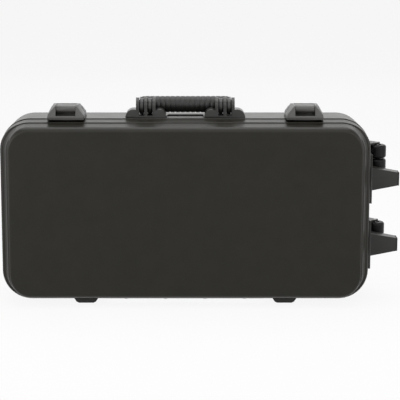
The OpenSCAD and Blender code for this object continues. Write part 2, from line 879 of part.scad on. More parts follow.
module handle_frame() {
  color(trim_grey) difference() {
    union() {
      for (side = [-1, 1]) {
        at_bracket(side) for (i = [-1, 1]) translate([i * ear_pitch / 2, 0, 0]) prong();
        mirror([side > 0 ? 0 : 1, 0, 0]) translate([0, 0, top_z])
          along_x(grip_y, handle_axis_z, grip_r, yoke_start, yoke_end);
      }
      translate([0, 0, top_z])
        along_x(grip_y, handle_axis_z, core_r, -yoke_end, yoke_end);
    }
    for (side = [-1, 1]) at_bracket(side)
      along_x(handle_axis_y, handle_axis_z, handle_pin_r + run_gap, -bracket_w, bracket_w);
  }
}

module handle_grip() {
  count = floor((grip_w - 4) / rib_pitch);
  color([0.1, 0.1, 0.1]) translate([0, 0, top_z]) difference() {
    union() {
      along_x(grip_y, handle_axis_z, grip_r - rib_depth, -grip_w / 2, grip_w / 2);
      for (i = [0 : count - 1])
        along_x(grip_y, handle_axis_z, grip_r,
          (i - count / 2) * rib_pitch + groove_w / 2, (i + 1 - count / 2) * rib_pitch - groove_w / 2);
    }
    along_x(grip_y, handle_axis_z, core_r + pin_gap, -grip_w, grip_w);
  }
}

module handle_screws() {
  color(steel) for (side = [-1, 1]) at_bracket(side) handle_fixings()
    translate([0, 0, -wall + head_h]) rotate([180, 0, 0]) screw(wall - head_h + thread_l);
}

// ---------- wheels on the right end ----------

module at_unit(level) {
  translate([end_x, axle_y, mid_z + unit_lift + level * unit_z]) children();
}

module wheel_fork(level) {
  color(trim_grey) at_unit(level) difference() {
    union() {
      translate([0, -fork_d / 2, -unit_h / 2]) cube([fork_t, fork_d, unit_h]);
      for (s = [-1, 1])
        translate([0, 0, s > 0 ? unit_h / 2 - fork_t : -unit_h / 2]) linear_extrude(fork_t) {
          polygon([
            [0, -fork_d / 2], [fork_t, -fork_d / 2], [axle_x, -fork_tip_r],
            [axle_x, fork_tip_r], [fork_t, fork_d / 2], [0, fork_d / 2]
          ]);
          translate([axle_x, 0]) circle(fork_tip_r);
        }
    }
    translate([axle_x, 0, -unit_h]) cylinder(h = 2 * unit_h, r = axle_r + pin_gap);
    unit_fixings() translate([-1, 0, 0]) rotate([0, 90, 0])
      cylinder(h = fork_t + 2, r = shank_r + pin_gap);
  }
}

module axle(level) {
  color(steel) at_unit(level) translate([axle_x, 0, -unit_h / 2])
    cylinder(h = unit_h, r = axle_r);
}

module at_wheel(level, place) {
  at_unit(level) translate([axle_x, 0, place * wheel_pitch / 2 - wheel_w / 2]) children();
}

module wheel_hub(level, place) {
  color(trim_grey) at_wheel(level, place) difference() {
    cylinder(h = wheel_w, r = wheel_hub_r);
    translate([0, 0, -1]) cylinder(h = wheel_w + 2, r = axle_r + run_gap);
    for (z = [-1, wheel_w - 2])
      translate([0, 0, z]) difference() {
        cylinder(h = 3, r = wheel_hub_r - hub_rim);
        cylinder(h = 3, r = axle_r + 1.8);
      }
  }
}

module tyre(level, place) {
  color([0.07, 0.07, 0.07]) at_wheel(level, place) rotate_extrude() difference() {
    union() {
      translate([0, 0]) square([wheel_r - tyre_round, wheel_w]);
      translate([0, tyre_round]) square([wheel_r, wheel_w - 2 * tyre_round]);
      for (z = [tyre_round, wheel_w - tyre_round]) translate([wheel_r - tyre_round, z]) circle(tyre_round);
    }
    translate([-1, -1]) square([wheel_hub_r + 1, wheel_w + 2]);
  }
}

module unit_fixings() {
  for (y = [-1, 1])
    for (z = [-1, 1]) translate([0, y * (fork_d / 2 - head_r - 0.4), z * unit_h / 4]) children();
}

module fork_screws() {
  color(steel) for (level = [-1, 1]) at_unit(level) unit_fixings()
    translate([fork_t, 0, 0]) rotate([0, 90, 0]) screw(fork_t + wall - 1);
}

// ---------- stand feet on the right end ----------

module at_stand(level) {
  translate([end_x, stand_y, mid_z - stand_drop + level * stand_z]) children();
}

module stand_foot(level) {
  plate_x = standoff + stand_plate_t;
  tip_x = stand_reach - pad_t;
  tip_y = (stand_root_d - stand_tip_d) / 2;
  color(trim_grey) at_stand(level) difference() {
    union() {
      translate([0, 4, -stand_plate_h / 2 + 6]) cube([standoff, stand_root_d - 8, stand_plate_h - 12]);
      translate([standoff, 0, -stand_plate_h / 2])
        cube([stand_plate_t, stand_root_d, stand_plate_h]);
      intersection() {
        translate([0, stand_root_d, 0]) rotate([90, 0, 0]) linear_extrude(stand_root_d)
          polygon([
            [standoff, -stand_root_h / 2], [plate_x, -stand_root_h / 2],
            [tip_x, -stand_tip_h / 2], [tip_x, stand_tip_h / 2],
            [plate_x, stand_root_h / 2], [standoff, stand_root_h / 2]
          ]);
        translate([0, 0, -stand_root_h / 2]) linear_extrude(stand_root_h) polygon([
          [standoff, 0], [plate_x, 0], [tip_x, tip_y],
          [tip_x, tip_y + stand_tip_d], [plate_x, stand_root_d], [standoff, stand_root_d]
        ]);
      }
    }
    stand_fixings() rotate([0, 90, 0]) {
      translate([0, 0, -standoff - stand_plate_t - 1])
        cylinder(h = standoff + stand_plate_t + 2, r = shank_r + pin_gap);
      translate([0, 0, -head_h]) cylinder(h = head_h + 1, r = head_r + pin_gap);
    }
  }
}

module stand_fixings() {
  for (z = [-1, 1])
    translate([standoff + stand_plate_t, stand_root_d / 2, z * (stand_plate_h / 2 - stand_fix)])
      children();
}

module stand_pads() {
  tip_y = (stand_root_d - stand_tip_d) / 2;
  color("black") for (level = [-1, 1])
    at_stand(level) translate([stand_reach - pad_t, tip_y, -stand_tip_h / 2])
      cube([pad_t, stand_tip_d, stand_tip_h]);
}

module stand_screws() {
  color(steel) for (level = [-1, 1]) at_stand(level) stand_fixings()
    translate([-head_h, 0, 0]) rotate([0, 90, 0]) screw(standoff + stand_plate_t + wall - head_h - 1);
}

// ---------- screws ----------

// A screw whose head stands on the plane, with its shank below
module screw(length) {
  translate([0, 0, -length]) cylinder(h = length, r = shank_r);
  cylinder(h = head_h, r = head_r);
}

// Holes in the base for the screws of every fitting
module fixing_holes() {
  hole_r = shank_r + pin_gap;
  for (side = [-1, 1]) {
    at_latch(side) latch_fixings() translate([0, 0, 0.5 - wall]) cylinder(h = wall + 1, r = hole_r);
    at_bracket(side) handle_fixings() {
      translate([0, 0, -wall - 1]) cylinder(h = wall + 2, r = hole_r);
      translate([0, 0, -wall - 1]) cylinder(h = 1 + head_h + pin_gap, r = head_r + pin_gap);
    }
  }
  for (level = [-1, 1]) {
    at_unit(level) unit_fixings() translate([0.5 - wall, 0, 0]) rotate([0, 90, 0])
      cylinder(h = wall + 1, r = hole_r);
    at_stand(level) stand_fixings() translate([-standoff - stand_plate_t - wall + 0.5, 0, 0])
      rotate([0, 90, 0]) cylinder(h = wall + 1, r = hole_r);
  }
  hinge_fixings(1) cylinder(h = leaf_t + wall + 0.5, r = hole_r);
}
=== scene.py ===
import json
import math

import bmesh
import bpy
from mathutils import Matrix, Vector


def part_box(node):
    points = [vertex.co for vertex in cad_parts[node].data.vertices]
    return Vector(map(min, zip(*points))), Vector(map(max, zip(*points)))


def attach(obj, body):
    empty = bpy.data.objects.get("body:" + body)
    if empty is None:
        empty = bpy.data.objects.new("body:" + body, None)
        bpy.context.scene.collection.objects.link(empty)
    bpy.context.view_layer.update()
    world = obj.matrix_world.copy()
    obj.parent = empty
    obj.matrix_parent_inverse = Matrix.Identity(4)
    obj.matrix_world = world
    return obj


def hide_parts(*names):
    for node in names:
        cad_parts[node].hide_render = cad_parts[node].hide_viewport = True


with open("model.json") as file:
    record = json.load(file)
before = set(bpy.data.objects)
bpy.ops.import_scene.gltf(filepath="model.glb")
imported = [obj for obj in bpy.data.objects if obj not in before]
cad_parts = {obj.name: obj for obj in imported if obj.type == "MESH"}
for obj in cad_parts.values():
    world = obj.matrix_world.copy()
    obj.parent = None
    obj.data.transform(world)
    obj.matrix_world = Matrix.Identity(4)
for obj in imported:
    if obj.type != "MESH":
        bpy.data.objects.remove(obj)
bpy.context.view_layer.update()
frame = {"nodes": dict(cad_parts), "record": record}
nodes = frame["nodes"]
scene = bpy.context.scene
scene.view_settings.view_transform = "Standard"

MM = 0.001
SIDES = ("left", "right")
LEVELS = ("upper", "lower")
body_of = {node: body
           for body, names in frame["record"]["behaviour"]["bodies"].items() for node in names}

lid_low, lid_high = (Vector(c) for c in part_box("lid_shell"))
MID_X = (lid_low.x + lid_high.x) / 2
MID_Z = (lid_high.z + lid_low.z) / 2
TOP_Z = lid_high.z


# ---------- camera and studio ----------

# The faint even light that the world gives to everything but the eye and reflections
WORLD_LEVEL = 0.2
# How much of the floor is seen through, as white; the rest takes a faint shadow
FLOOR_CLEARNESS = 0.9
# Name, place, the point it is turned to, size and level of each lit panel
PANELS = (
    ("overhead", (0, 0.3, 2.4), (0, 0.1, 0.15), (2.4, 2.2), 2.0),
    ("front_top", (0, -2.1, 2.2), (0, 0, 0.15), (2.4, 1.3), 1.3),
    ("left_wall", (-1.8, -1.65, 0.9), (0, 0, 0.15), (3.1, 1.4), 1.1),
    ("right_wall", (1.8, -1.65, 0.9), (0, 0, 0.15), (3.1, 1.4), 0.9),
    ("left_low", (-1.0, -0.55, 0.27), (-0.3, 0, 0.15), (0.7, 0.5), 1.7),
    ("right_low", (1.0, -0.5, 0.27), (0.25, 0, 0.15), (0.7, 0.5), 1.1),
    ("rear", (0, 3.2, 1.3), (0, 0, 0.3), (3.2, 1.2), 0.6),
)


def add_camera():
    """Stands well back and a little above the case, looking down at it"""
    data = bpy.data.cameras.new("camera")
    data.lens = 134.09
    data.sensor_width = 36
    data.shift_x = 0.03664
    data.clip_end = 50
    camera = bpy.data.objects.new("camera", data)
    camera.location = (-0.0255, -2.423, 0.6328)
    camera.rotation_euler = (math.radians(90 - 10.925), 0, 0)
    scene.collection.objects.link(camera)
    scene.camera = camera


def add_panel(name, place, aim, size, level):
    """A lit panel; level is how bright it looks, where 1 is white"""
    data = bpy.data.lights.new(name, "AREA")
    data.shape = "RECTANGLE"
    data.size, data.size_y = size
    data.energy = level * math.pi * size[0] * size[1]
    light = bpy.data.objects.new(name, data)
    light.location = place
    light.rotation_euler = (Vector(aim) - Vector(place)).to_track_quat("-Z", "Y").to_euler()
    light.visible_camera = False
    scene.collection.objects.link(light)


def new_material(name):
    mat = bpy.data.materials.new(name)
    mat.use_nodes = True
    mat.node_tree.nodes.clear()
    return mat, mat.node_tree.nodes, mat.node_tree.links


def combine(tree, links, operation, first, second):
    """A maths node on two sockets or numbers"""
    node = tree.new("ShaderNodeMath")
    node.operation = operation
    for socket, value in ((0, first), (1, second)):
        if isinstance(value, float):
            node.inputs[socket].default_value = value
        else:
            links.new(value, node.inputs[socket])
    return node.outputs[0]


def eye_and_gloss(tree, links):
    """1 for camera, glossy and transmission rays, 0 for the rest"""
    path = tree.new("ShaderNodeLightPath").outputs
    seen = combine(tree, links, "MAXIMUM", path["Is Camera Ray"], path["Is Glossy Ray"])
    return combine(tree, links, "MAXIMUM", seen, path["Is Transmission Ray"])


def add_world():
    """White to the eye and in reflections, and a faint even light for the rest"""
    world = bpy.data.worlds.new("studio")
    scene.world = world
    world.use_nodes = True
    tree, links = world.node_tree.nodes, world.node_tree.links
    tree.clear()
    mix = tree.new("ShaderNodeMixShader")
    links.new(eye_and_gloss(tree, links), mix.inputs[0])
    for socket, level in ((1, WORLD_LEVEL), (2, 1.0)):
        light = tree.new("ShaderNodeBackground")
        light.inputs["Color"].default_value = (1, 1, 1, 1)
        light.inputs["Strength"].default_value = level
        links.new(light.outputs[0], mix.inputs[socket])
    out = tree.new("ShaderNodeOutputWorld")
    links.new(mix.outputs[0], out.inputs["Surface"])


def add_floor():
    """A wide floor, nearly clear to the eye, so that a lid swung below it still shows"""
    mesh = bpy.data.meshes.new("studio_floor")
    bm = bmesh.new()
    bmesh.ops.create_grid(bm, x_segments=1, y_segments=1, size=20)
    bm.to_mesh(mesh)
    bm.free()
    floor = bpy.data.objects.new("studio_floor", mesh)
    scene.collection.objects.link(floor)
    mat, tree, links = new_material("white_floor")
    matte = tree.new("ShaderNodeBsdfDiffuse")
    matte.inputs["Color"].default_value = (0.92, 0.92, 0.92, 1)
    clear = tree.new("ShaderNodeBsdfTransparent")
    mix = tree.new("ShaderNodeMixShader")
    out = tree.new("ShaderNodeOutputMaterial")
    share = combine(tree, links, "MULTIPLY", eye_and_gloss(tree, links), FLOOR_CLEARNESS)
    links.new(share, mix.inputs[0])
    links.new(matte.outputs[0], mix.inputs[1])
    links.new(clear.outputs[0], mix.inputs[2])
    links.new(mix.outputs[0], out.inputs["Surface"])
    mesh.materials.append(mat)


# ---------- finishes ----------

# Sizes and depths that the functions of this section take are in millimetres.

def add_noise(tree, links, place, size, detail):
    noise = tree.new("ShaderNodeTexNoise")
    noise.inputs["Scale"].default_value = 1 / (size * MM)
    noise.inputs["Detail"].default_value = detail
    links.new(place.outputs[0], noise.inputs["Vector"])
    return noise


def add_cells(tree, links, place, size, feature="F1"):
    cells = tree.new("ShaderNodeTexVoronoi")
    cells.feature = feature
    cells.inputs["Scale"].default_value = 1 / (size * MM)
    links.new(place.outputs[0], cells.inputs["Vector"])
    return cells


def add_bump(tree, links, shader, height, depth):
    bump = tree.new("ShaderNodeBump")
    bump.inputs["Strength"].default_value = 1
    bump.inputs["Distance"].default_value = depth * MM
    links.new(height, bump.inputs["Height"])
    links.new(bump.outputs["Normal"], shader.inputs["Normal"])


def surface_start(name, colour, roughness, uneven, rough_spread, cloud_size, metal=0.0,
                  specular=0.5, stretch=(1, 1, 1)):
    """Shader with a cloudy tint and gloss; returns what the bump of a finish builds on"""
    mat, tree, links = new_material(name)
    coords = tree.new("ShaderNodeTexCoord")
    place = tree.new("ShaderNodeMapping")
    place.inputs["Scale"].default_value = stretch
    links.new(coords.outputs["Object"], place.inputs["Vector"])
    shader = tree.new("ShaderNodeBsdfPrincipled")
    shader.inputs["Metallic"].default_value = metal
    shader.inputs["Specular IOR Level"].default_value = specular
    cloud = add_noise(tree, links, place, cloud_size, 6)
    cloud.inputs["Roughness"].default_value = 0.6
    tint = tree.new("ShaderNodeValToRGB")
    for element, position, level in ((0, 0.3, 1 - uneven), (1, 0.7, 1 + uneven)):
        tint.color_ramp.elements[element].position = position
        tint.color_ramp.elements[element].color = tuple(min(1, c * level) for c in colour) + (1,)
    links.new(cloud.outputs["Fac"], tint.inputs["Fac"])
    links.new(tint.outputs["Color"], shader.inputs["Base Color"])
    rough = tree.new("ShaderNodeMapRange")
    rough.inputs["To Min"].default_value = roughness - rough_spread
    rough.inputs["To Max"].default_value = roughness + rough_spread
    links.new(cloud.outputs["Fac"], rough.inputs["Value"])
    links.new(rough.outputs["Result"], shader.inputs["Roughness"])
    out = tree.new("ShaderNodeOutputMaterial")
    links.new(shader.outputs[0], out.inputs["Surface"])
    return mat, tree, links, place, shader, tint


def moulded(name, colour, roughness, grain, grain_size, specular):
    """Moulded plastic or rubber: a pebbled grain with fine unevenness over it"""
    mat, tree, links, place, shader, _ = surface_start(
        name, colour, roughness, 0.15, 0.05, 22, specular=specular)
    pebble = add_cells(tree, links, place, grain_size, "SMOOTH_F1")
    pebble.inputs["Smoothness"].default_value = 0.6
    fine = add_noise(tree, links, place, 2.6 * grain_size, 3)
    height = combine(tree, links, "SUBTRACT", fine.outputs["Fac"], pebble.outputs["Distance"])
    add_bump(tree, links, shader, height, grain)
    return mat


def turned_steel(name, colour, roughness):
    """Plated steel with faint drawn lines along its length"""
    mat, tree, links, place, shader, _ = surface_start(
        name, colour, roughness, 0.1, 0.07, 9, metal=1.0, stretch=(0.08, 1, 1))
    lines = add_noise(tree, links, place, 0.5, 2)
    add_bump(tree, links, shader, lines.outputs["Fac"], 0.01)
    return mat


def open_foam():
    """Dark lining foam: open cells of two sizes and a slightly dusty tint"""
    mat, tree, links, place, shader, _ = surface_start(
        "lining_foam", (0.035, 0.035, 0.038), 0.95, 0.3, 0.03, 14, specular=0.2)
    large = add_cells(tree, links, place, 1.1)
    small = add_cells(tree, links, place, 0.5)
    height = combine(tree, links, "ADD", large.outputs["Distance"], small.outputs["Distance"])
    add_bump(tree, links, shader, height, 0.35)
    return mat


def looped_cloth():
    """The board's loop pile: short curled loops, darker between them"""
    mat, tree, links, place, shader, _ = surface_start(
        "loop_pile_cloth", (0.02, 0.02, 0.022), 0.95, 0.35, 0.03, 3, specular=0.15)
    shader.inputs["Sheen Weight"].default_value = 0.3
    shader.inputs["Sheen Roughness"].default_value = 0.5
    loops = add_cells(tree, links, place, 0.9, "SMOOTH_F1")
    nap = add_noise(tree, links, place, 7, 5)
    height = combine(tree, links, "SUBTRACT", nap.outputs["Fac"], loops.outputs["Distance"])
    add_bump(tree, links, shader, height, 0.7)
    return mat


def birch_ply():
    """Plywood board: grain along its length on the faces, thin plies on the cut edges"""
    mat, tree, links, place, shader, tint = surface_start(
        "birch_ply", (0.56, 0.41, 0.25), 0.55, 0.16, 0.08, 6, specular=0.4, stretch=(0.06, 1, 1))
    coords = tree.new("ShaderNodeTexCoord")
    split = tree.new("ShaderNodeSeparateXYZ")
    links.new(coords.outputs["Object"], split.inputs[0])
    ply_pair = 2.7 * MM
    plies = combine(tree, links, "MULTIPLY", split.outputs["Y"], 2 * math.pi / ply_pair)
    band = tree.new("ShaderNodeMapRange")
    band.inputs["From Min"].default_value = -0.2
    band.inputs["From Max"].default_value = 0.2
    band.inputs["To Min"].default_value = 0.0
    band.inputs["To Max"].default_value = 0.45
    links.new(combine(tree, links, "SINE", plies, 0.0), band.inputs["Value"])
    geometry = tree.new("ShaderNodeNewGeometry")
    facing = tree.new("ShaderNodeSeparateXYZ")
    links.new(geometry.outputs["Normal"], facing.inputs[0])
    side = combine(tree, links, "ABSOLUTE", facing.outputs["Y"], 0.0)
    edge = combine(tree, links, "LESS_THAN", side, 0.5)
    mix = tree.new("ShaderNodeMix")
    mix.data_type = "RGBA"
    wood, dark_ply = (s for s in mix.inputs if s.type == "RGBA")
    dark_ply.default_value = (0.22, 0.13, 0.07, 1)
    links.new(combine(tree, links, "MULTIPLY", edge, band.outputs[0]), mix.inputs["Factor"])
    links.new(tint.outputs["Color"], wood)
    result = [s for s in mix.outputs if s.type == "RGBA"][0]
    links.new(result, shader.inputs["Base Color"])
    lines = add_noise(tree, links, place, 0.8, 4)
    add_bump(tree, links, shader, lines.outputs["Fac"], 0.06)
    return mat


# ---------- pieces ----------

def dress(node, mat):
    """Gives a CAD node its finish"""
    mesh = nodes[node].data
    mesh.materials.clear()
    mesh.materials.append(mat)
    for face in mesh.polygons:
        face.material_index = 0


def add_piece(name, bm, body, mat, stands_for=(), smooth_angle=40):
    """Turns a finished bmesh into a piece of the case on the body that carries it"""
    for face in bm.faces:
        face.smooth = True
    limit = math.radians(smooth_angle)
    for edge in bm.edges:
        edge.smooth = len(edge.link_faces) == 2 and edge.calc_face_angle() < limit
    mesh = bpy.data.meshes.new(name)
    bm.to_mesh(mesh)
    bm.free()
    mesh.materials.append(mat)
    piece = bpy.data.objects.new(name, mesh)
    scene.collection.objects.link(piece)
    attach(piece, body)
    if stands_for:
        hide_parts(*stands_for)
    return piece


def merged_copy(node):
    """A node's solid with its loose triangles joined and its flat faces made whole"""
    bm = bmesh.new()
    bm.from_mesh(nodes[node].data)
    bmesh.ops.remove_doubles(bm, verts=bm.verts, dist=0.002 * MM)
    bmesh.ops.dissolve_limit(bm, angle_limit=math.radians(0.6), verts=bm.verts, edges=bm.edges)
    return bm


def cut_faces(bm, faces, point, normal, dist=0.001 * MM):
    """Cuts some of the faces of a mesh along a plane"""
    edges = list(dict.fromkeys(e for f in faces for e in f.edges))
    verts = list(dict.fromkeys(v for f in faces for v in f.verts))
    bmesh.ops.bisect_plane(bm, geom=verts + edges + faces, dist=dist, plane_co=point, plane_no=normal)


def sink_faces(bm, faces, way):
    """Moves faces inwards, with walls round them; returns the moved vertices"""
    sunk = bmesh.ops.extrude_face_region(bm, geom=faces)["geom"]
    moved = [v for v in sunk if isinstance(v, bmesh.types.BMVert)]
    bmesh.ops.translate(bm, verts=moved, vec=way)
    left_over = [f for f in faces if f.is_valid]
    if left_over:
        bmesh.ops.delete(bm, geom=left_over, context="FACES_ONLY")
    return moved


def eased_node(node, mat, width, segments=2, angle=25, shape=None, name=None):
    """Replaces a node by its own shape, with moulded radii on edges sharper than the angle"""
    bm = merged_copy(node)
    if shape:
        shape(bm)
    piece = add_piece(name or node + "_moulding", bm, body_of[node], mat, (node,),
                      smooth_angle=180)
    bevel = piece.modifiers.new("eased_edges", "BEVEL")
    bevel.width = width * MM
    bevel.segments = segments
    bevel.limit_method = "ANGLE"
    bevel.angle_limit = math.radians(angle)
    bevel.harden_normals = True
    bevel.use_clamp_overlap = True
    bevel.miter_outer = "MITER_ARC"
    return piece


def smooth_node(node, mat, angle=30, shape=None):
    """Replaces a node by its own shape with its curves shaded smooth and its flats flat"""
    bm = merged_copy(node)
    if shape:
        shape(bm)
    piece = add_piece(node + "_skin", bm, body_of[node], mat, (node,), angle)
    flats = piece.modifiers.new("flat_faces", "WEIGHTED_NORMAL")
    flats.mode = "FACE_AREA"
    flats.weight = 100
    flats.keep_sharp = True


# ---------- shells ----------

# The lid as its solid has it: half its size across and up, its corners in front view, the rim's front
# end, and how far the drafted wall before the rim stands in, which is also the radius of the rim's front
OUTLINE = (lid_high.x - MID_X, (lid_high.z - lid_low.z) / 2)
CORNER_R = 48 * MM
RIM_FRONT = lid_low.y + 30 * MM
RIM_STEP = 4.8 * MM
# The wall and the turn to the face: points are (in from the wall's start, forward of the rim)
WALL_DRAFT = math.radians(8)
WALL_DEPTH = 22.1 * MM
TURN_CENTRE = Vector((12.04 * MM, 21 * MM))
TURN_R = 9 * MM
TURN_DEGREES = 82
# The slope that takes their place at the lid's two ends, and the share of the turn that stays on its start
SLOPE_START = Vector((0.6 * MM, 8 * MM))
SLOPE_KNEE = Vector((10.6 * MM, 28 * MM))
SLOPE_END = Vector((14 * MM, 30 * MM))
TURN_FOOT = 0.05
SLOPE_FOOT = 0.12
# The rim along the top: its drop at the parting line, its fall at the front, and its front radius
RIM_DROP = 1.5 * MM
RIM_FALL = 3.5 * MM
RIM_EDGE = 1.1 * MM
# How deep below the outline a vertex still belongs to the outer skin, and how near it has to lie to a
# surface to be on it
SKIN = 1.6 * MM
NEAR = 0.3 * MM
SLACK = 0.1 * MM
# The finger recess in the base's top
RECESS = 2.4 * MM
RECESS_FRONT, RECESS_BACK = -17 * MM, 36 * MM
RECESS_FROM_BRACKET = 1.5 * MM
RECESS_CORNER = 5 * MM


def rim_place(point):
    """How far in from the outline a point of the lid's upper part lies, its way out, and the weight of a
    move there: 1 along the top, and less round the corners"""
    out = Vector((max(0.0, abs(point.x - MID_X) - OUTLINE[0] + CORNER_R),
                  max(0.0, point.z - MID_Z - OUTLINE[1] + CORNER_R)))
    if out.y < 0.01 * MM:
        return None
    return CORNER_R - out.length, out.normalized(), min(1.0, (out.y / out.length) ** 2 * 1.15)


def ease_shoulder(bm):
    """Spreads the turn between the lid's ends and its face: a long even slope, then a soft edge"""
    rise = (SLOPE_KNEE.x - SLOPE_START.x) / (SLOPE_KNEE.y - SLOPE_START.y)
    meet = Vector((SLOPE_KNEE.x + (SLOPE_END.y - SLOPE_KNEE.y) * rise, SLOPE_END.y))
    for vert in bm.verts:
        across, up = vert.co.x - MID_X, vert.co.z - MID_Z
        out = Vector((max(0.0, abs(across) - OUTLINE[0] + CORNER_R),
                      max(0.0, abs(up) - OUTLINE[1] + CORNER_R)))
        if out.length < 1 * MM:
            continue
        inset = CORNER_R - out.length - RIM_STEP
        depth = RIM_FRONT - vert.co.y
        arm = Vector((TURN_CENTRE.x - inset, depth - TURN_CENTRE.y))
        on_wall = (SLACK < depth < WALL_DEPTH
                   and abs(inset - depth * math.tan(WALL_DRAFT)) < NEAR)
        on_turn = abs(arm.length - TURN_R) < NEAR and arm.x > -SLACK and arm.y > 1 * MM
        if not on_wall and not on_turn:
            continue
        turned = 1 - math.degrees(math.atan2(arm.x, arm.y)) / TURN_DEGREES
        if on_wall or turned < TURN_FOOT:
            new = SLOPE_START * min(1.0, depth / WALL_DEPTH)
        else:
            t = min(1.0, max(0.0, (turned - SLOPE_FOOT) / (1 - SLOPE_FOOT)))
            new = SLOPE_KNEE * (1 - t) ** 2 + meet * (2 * t * (1 - t)) + SLOPE_END * t ** 2
        weight = (out.x / out.length) ** 2
        vert.co.y += weight * (RIM_FRONT - new.y - vert.co.y)
        move = out.normalized() * weight * (new.x - inset)
        vert.co.x -= math.copysign(move.x, across)
        vert.co.z -= math.copysign(move.y, up)


def lower_rim(bm):
    """Sets the lid's rim along the top below the base's, falling to the front with a tight edge"""
    ease_shoulder(bm)
    rim_back = RIM_FRONT + RIM_STEP
    # the end of the base's tongue, which reaches in past the parting line
    tongue_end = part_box("base_shell")[0][1]
    for vert in bm.verts:
        ahead = rim_back - vert.co.y
        place = rim_place(vert.co)
        if not place or ahead > RIM_STEP - 0.02 * MM or place[0] < -SLACK:
            continue
        inset, way_out, weight = place
        if ahead > -0.05 * MM and inset < RIM_STEP - SLACK:
            turn = math.atan2(max(0.0, ahead), RIM_STEP - inset)
            move = RIM_FALL + RIM_EDGE * (1 - math.cos(turn)) - inset
            vert.co.y += weight * (RIM_FRONT + RIM_EDGE - RIM_EDGE * math.sin(turn) - vert.co.y)
        elif ahead <= -0.05 * MM and inset < SKIN:
            back = min(1.0, (vert.co.y - rim_back) / (tongue_end - rim_back))
            move = RIM_DROP + (RIM_FALL - RIM_DROP) * (1 - back)
        else:
            continue
        vert.co.x -= math.copysign(way_out.x * weight * move, vert.co.x - MID_X)
        vert.co.z -= way_out.y * weight * move


def sink_hand_recess(bm):
    """Sinks a shallow recess for the fingers into the base's top, between the handle's brackets"""
    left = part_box("left_handle_bracket")[1][0] + RECESS_FROM_BRACKET
    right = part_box("right_handle_bracket")[0][0] - RECESS_FROM_BRACKET

    def top():
        return [f for f in bm.faces
                if f.normal.z > 0.99 and f.calc_center_median().z > TOP_Z - 4 * MM]

    for x in (left, right):
        cut_faces(bm, top(), (x, 0, 0), (1, 0, 0))
    for y in (RECESS_FRONT, RECESS_BACK):
        cut_faces(bm, top(), (0, y, 0), (0, 1, 0))
    floor = [f for f in top() if left < f.calc_center_median().x < right
             and RECESS_FRONT < f.calc_center_median().y < RECESS_BACK]
    moved = sink_faces(bm, floor, Vector((0, 0, -RECESS)))
    corners = [e for v in moved for e in v.link_edges
               if abs(e.verts[0].co.z - e.verts[1].co.z) > 0.9 * RECESS
               and min(abs(v.co.x - left), abs(v.co.x - right)) < 0.01 * MM
               and min(abs(v.co.y - RECESS_FRONT), abs(v.co.y - RECESS_BACK)) < 0.01 * MM]
    bmesh.ops.bevel(bm, geom=corners, offset=RECESS_CORNER, affect="EDGES", segments=6, profile=0.5,
                    material=-1)


# ---------- carry handle ----------

grip_low, grip_high = (Vector(c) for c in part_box("handle_grip"))
GRIP_Y = (grip_low.y + grip_high.y) / 2
GRIP_Z = (grip_low.z + grip_high.z) / 2
GRIP_R = (grip_high.z - grip_low.z) / 2
# The ribbed sleeve covers the frame's round ends too, so it is longer and thicker than the grip's solid
SLEEVE_HALF = 72.3 * MM
SLEEVE_SIDES = 56
SLEEVE_END_R = 3.2 * MM
RIB_R = 13.5 * MM
RIB_Z = GRIP_Z - 0.65 * MM
RIB_PITCH = 8.35 * MM
GROOVE_DEPTH = 0.6 * MM
# Half a groove, from the rib to its bottom: (from the groove's middle, below the rib's crown)
GROOVE = ((1.2 * MM, 0.12 * MM), (0.75 * MM, 0.4 * MM), (0.425 * MM, GROOVE_DEPTH))
PIVOT_R = 10.5 * MM


def spin_along_x(bm, profile):
    """Turns a profile of (x, radius) points about the X axis into a closed body"""
    verts = [bm.verts.new((x, 0, r)) for x, r in profile]
    edges = [bm.edges.new(pair) for pair in zip(verts, verts[1:])]
    bmesh.ops.spin(bm, geom=verts + edges, cent=(0, 0, 0), axis=(1, 0, 0), angle=2 * math.pi,
                   steps=SLEEVE_SIDES, use_merge=True, use_duplicate=False)
    bmesh.ops.remove_doubles(bm, verts=bm.verts, dist=0.001 * MM)
    rims = [e for e in bm.edges if e.is_boundary]
    if rims:
        bmesh.ops.holes_fill(bm, edges=rims, sides=0)
    bmesh.ops.recalc_face_normals(bm, faces=bm.faces)


def ribbed_sleeve_profile():
    """Sleeve with rounded ends and a narrow groove between neighbouring ribs"""
    turns = [math.pi / 2 * step / 6 for step in range(7)]
    end = [(SLEEVE_HALF - SLEEVE_END_R * (1 - math.cos(a)),
            RIB_R - GROOVE_DEPTH * 0.35 - SLEEVE_END_R * (1 - math.sin(a))) for a in turns]
    points = [(-x, radius) for x, radius in end]
    count = int((2 * SLEEVE_HALF - 2 * SLEEVE_END_R) / RIB_PITCH)
    for groove in range(count + 1):
        x = (groove - count / 2) * RIB_PITCH
        points += [(x - aside, RIB_R - down) for aside, down in GROOVE]
        points += [(x + aside, RIB_R - down) for aside, down in reversed(GROOVE)]
        if groove < count:
            points.append((x + RIB_PITCH / 2, RIB_R))
    return points + end[::-1]


def add_grip(mat):
    bm = bmesh.new()
    spin_along_x(bm, ribbed_sleeve_profile())
    bmesh.ops.translate(bm, verts=bm.verts, vec=(MID_X, GRIP_Y, RIB_Z))
    add_piece("ribbed_grip", bm, "handle", mat, ("handle_grip",), 50)


def slim_yokes(bm):
    """Draws the frame's round ends in, so that they lie inside the ribbed sleeve"""
    for vert in bm.verts:
        across = Vector((vert.co.y - GRIP_Y, vert.co.z - GRIP_Z))
        if abs(across.length - GRIP_R) < 0.15 * MM:
            across *= (GRIP_R - 1.6 * MM) / across.length
            vert.co.y = GRIP_Y + across.x
            vert.co.z = GRIP_Z + across.y
        if abs(abs(vert.co.x - MID_X) - SLEEVE_HALF) < 0.2 * MM and across.length < GRIP_R:
            vert.co.x = MID_X + math.copysign(SLEEVE_HALF - 1.5 * MM, vert.co.x - MID_X)


